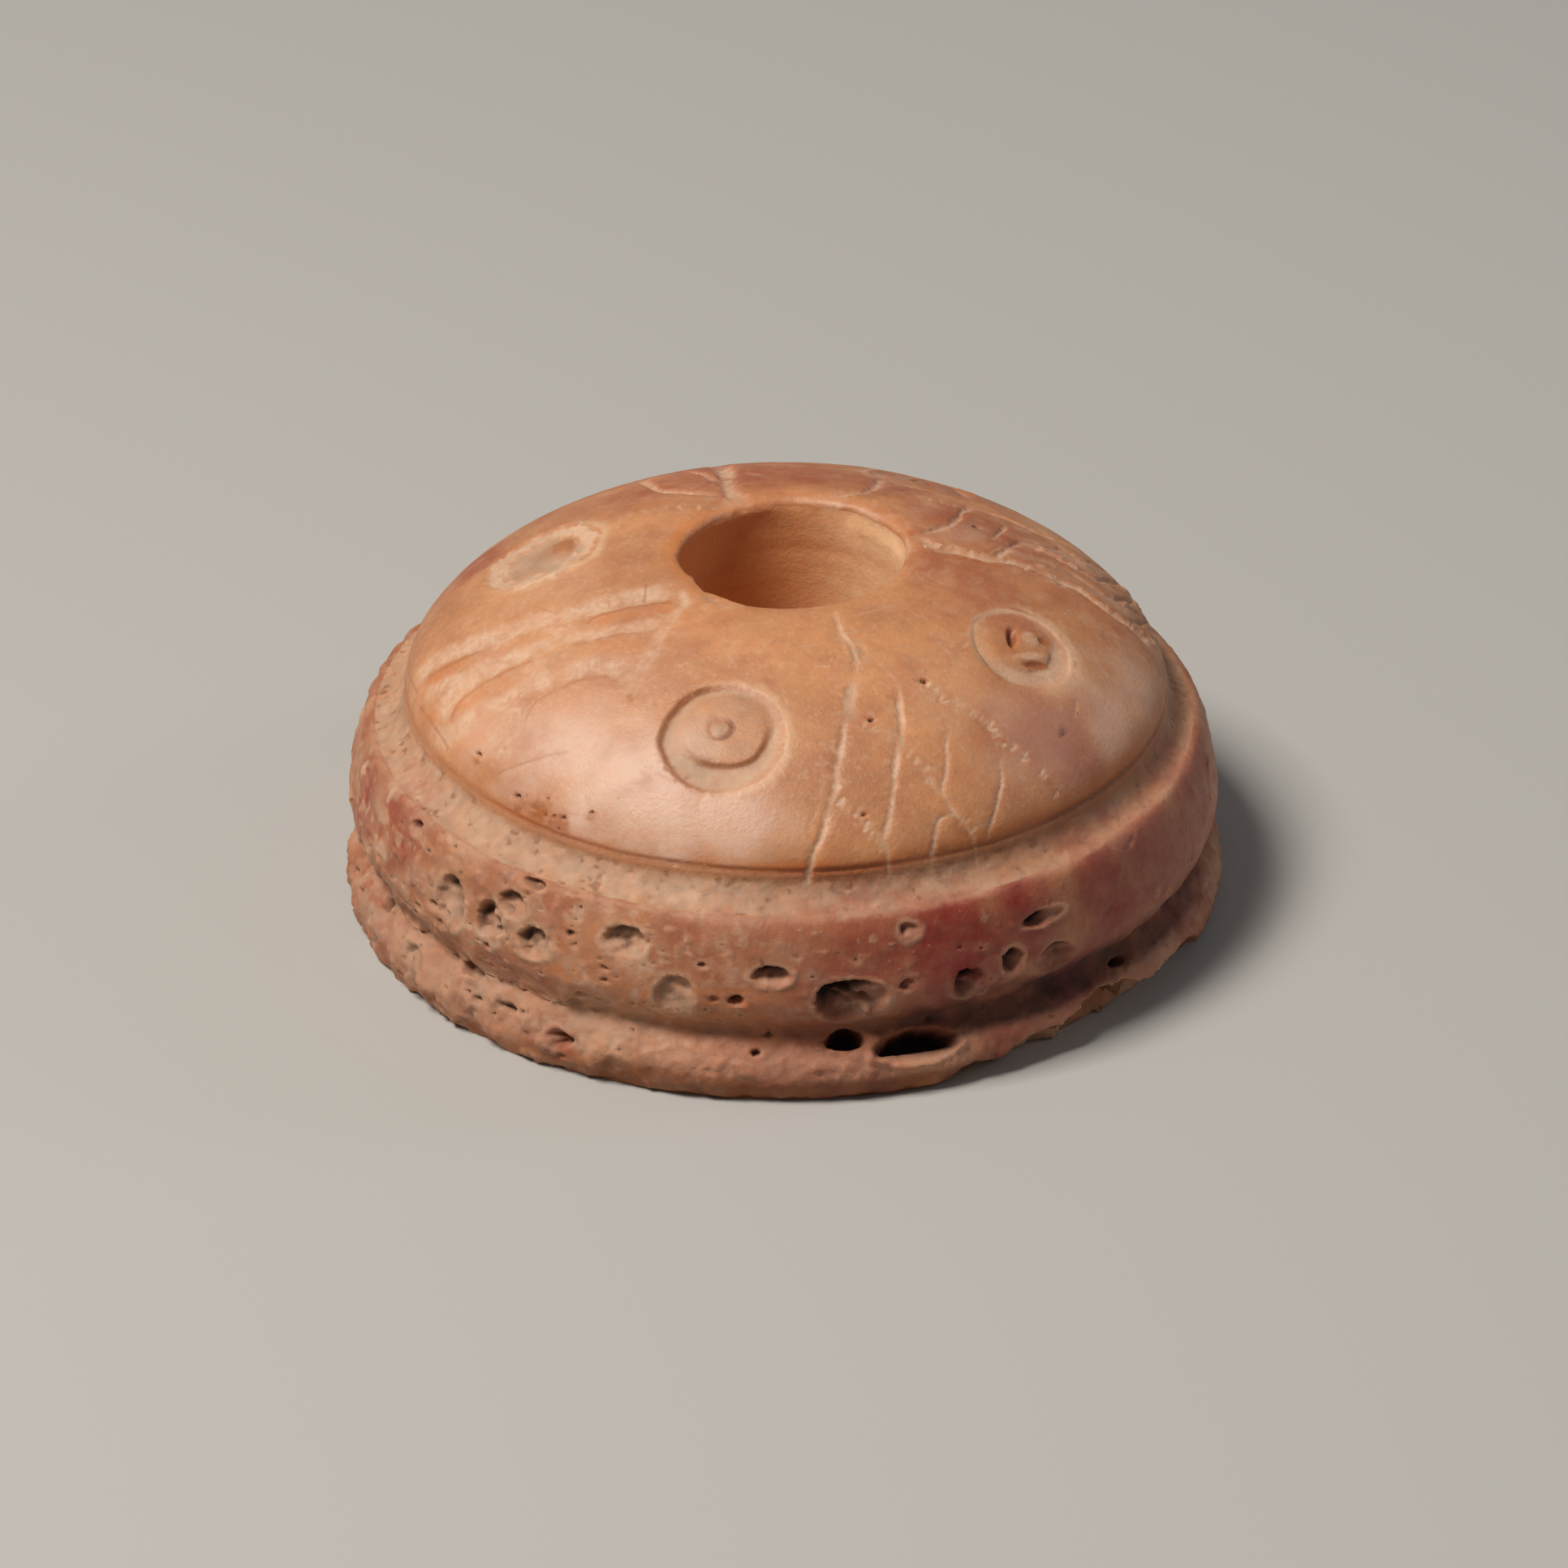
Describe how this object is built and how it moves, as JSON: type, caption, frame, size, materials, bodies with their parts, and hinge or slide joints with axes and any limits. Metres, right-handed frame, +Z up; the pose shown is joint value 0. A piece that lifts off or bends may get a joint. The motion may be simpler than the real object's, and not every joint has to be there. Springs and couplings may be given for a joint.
{
  "type": "bone spindle whorl",
  "caption": "Domed, turned bone whorl with a round spindle hole, ring-and-dot ornament, incised strokes, a waist and a worn, broken flange.",
  "frame": {"origin": "middle of the flat underside, on the turning axis, at the bottom centre of the bounding box", "axes": "+Z up along the spindle's line, from the flat underside to the dome; +X towards the hole's small offset"},
  "size_m": [0.032, 0.032, 0.0135],
  "materials": {
    "bone": "satin"
  },
  "bodies": {
    "root": {"spindle_whorl": "bone"}
  },
  "joints": []
}
